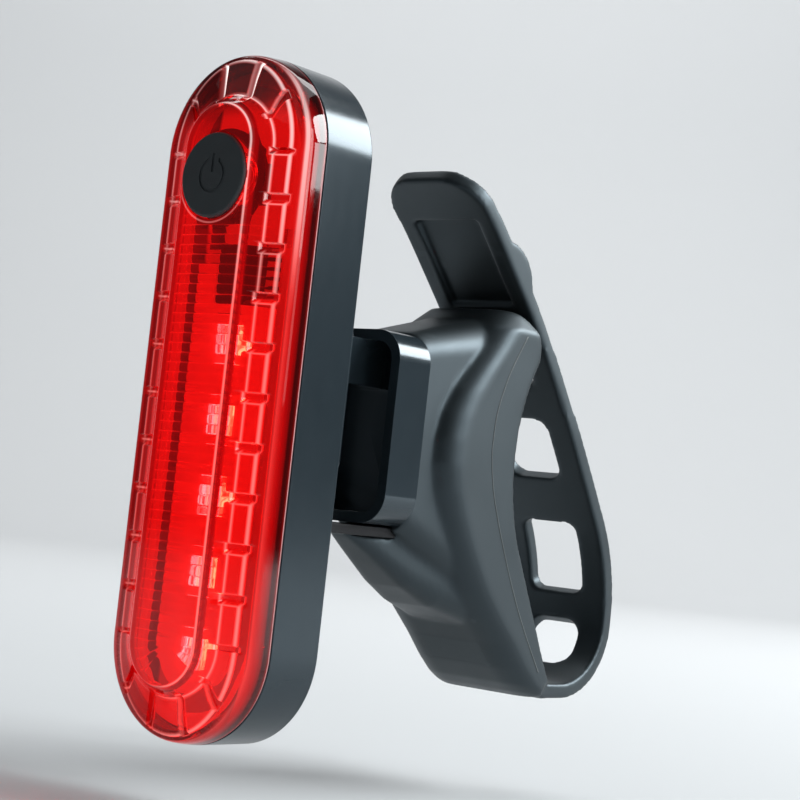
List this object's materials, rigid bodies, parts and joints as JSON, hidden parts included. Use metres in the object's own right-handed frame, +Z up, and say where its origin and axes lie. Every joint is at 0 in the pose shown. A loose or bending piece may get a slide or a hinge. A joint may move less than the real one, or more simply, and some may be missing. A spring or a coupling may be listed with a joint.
{
  "type": "bicycle tail light",
  "caption": "Rechargeable red tail light with ribbed lens and push button, clipped to a rubber saddle mount with a slotted strap that hooks round a bar.",
  "frame": {"origin": "deepest point of the saddle's seat, on the plane of symmetry, where the mount meets the bar", "axes": "+Y from the seat towards the bar it sits on, so the lens faces -Y; +Z up along the light; +X along the bar, to the right when looking along +Y"},
  "size_m": [0.0218, 0.0743, 0.075],
  "materials": {
    "red_lens": "clear red, glossy",
    "slate_plastic": "high gloss",
    "rubber": "matt moulded",
    "button_rubber": "matt",
    "seal": "satin",
    "black_steel": "black oxide",
    "black_plastic": "fine grain",
    "white_plastic": "satin",
    "lamp": "clear dome over a white cup",
    "board": "solder mask",
    "chip": "moulded",
    "ceramic": "fired",
    "foil": "foil pouch",
    "lead_red": "insulation",
    "lead_black": "insulation",
    "steel": "plated"
  },
  "bodies": {
    "mount": {"saddle_block": "rubber", "mount_tongue": "black_steel", "strap_hook": "black_plastic"},
    "strap": {"strap": "rubber"},
    "light": {"front_lens": "red_lens", "rear_housing": "slate_plastic", "rear_clip": "slate_plastic", "clip_screws": "steel", "seal_ring": "seal", "switch_body": "black_plastic", "circuit_board": "board", "reflector_strip": "white_plastic", "led_1": "lamp", "led_2": "lamp", "led_3": "lamp", "led_4": "lamp", "led_5": "lamp", "control_chip": "chip", "charge_chip": "chip", "chip_resistors": "chip", "chip_capacitors": "ceramic", "charge_indicator": "white_plastic", "battery_cell": "foil", "battery_tape": "white_plastic", "battery_lead_positive": "lead_red", "battery_lead_negative": "lead_black", "port_shell": "steel", "port_contact_tongue": "black_plastic"},
    "button": {"power_button": "button_rubber"},
    "plunger": {"switch_plunger": "black_plastic"},
    "flap": {"port_flap": "button_rubber"}
  },
  "joints": [
    {"name": "light_slide", "type": "slide", "parent": "mount", "child": "light", "axis": [0, 0, 1], "range_m": [0, 0.016]},
    {"name": "strap_open", "type": "hinge", "parent": "mount", "child": "strap", "pos_m": [0, 0.0122, -0.02865], "axis": [-1, 0, 0], "range_deg": [0, 85], "stiffness_Nm_per_rad": 0.02, "springref_deg": -22.92},
    {"name": "button_press", "type": "slide", "parent": "light", "child": "button", "axis": [0, 1, 0], "range_m": [0, 0.00035], "stiffness_N_per_m": 1500, "springref_m": -0.0003},
    {"name": "plunger_press", "type": "slide", "parent": "light", "child": "plunger", "axis": [0, 1, 0], "range_m": [0, 0.00035]},
    {"name": "port_flap_open", "type": "hinge", "parent": "light", "child": "flap", "pos_m": [0, -0.03505, -0.02885], "axis": [-1, 0, 0], "range_deg": [0, 110], "stiffness_Nm_per_rad": 0.0005, "springref_deg": -17.19}
  ],
  "couplings": [
    {"joint": "plunger_press", "follows": "button_press", "ratio": 1}
  ]
}
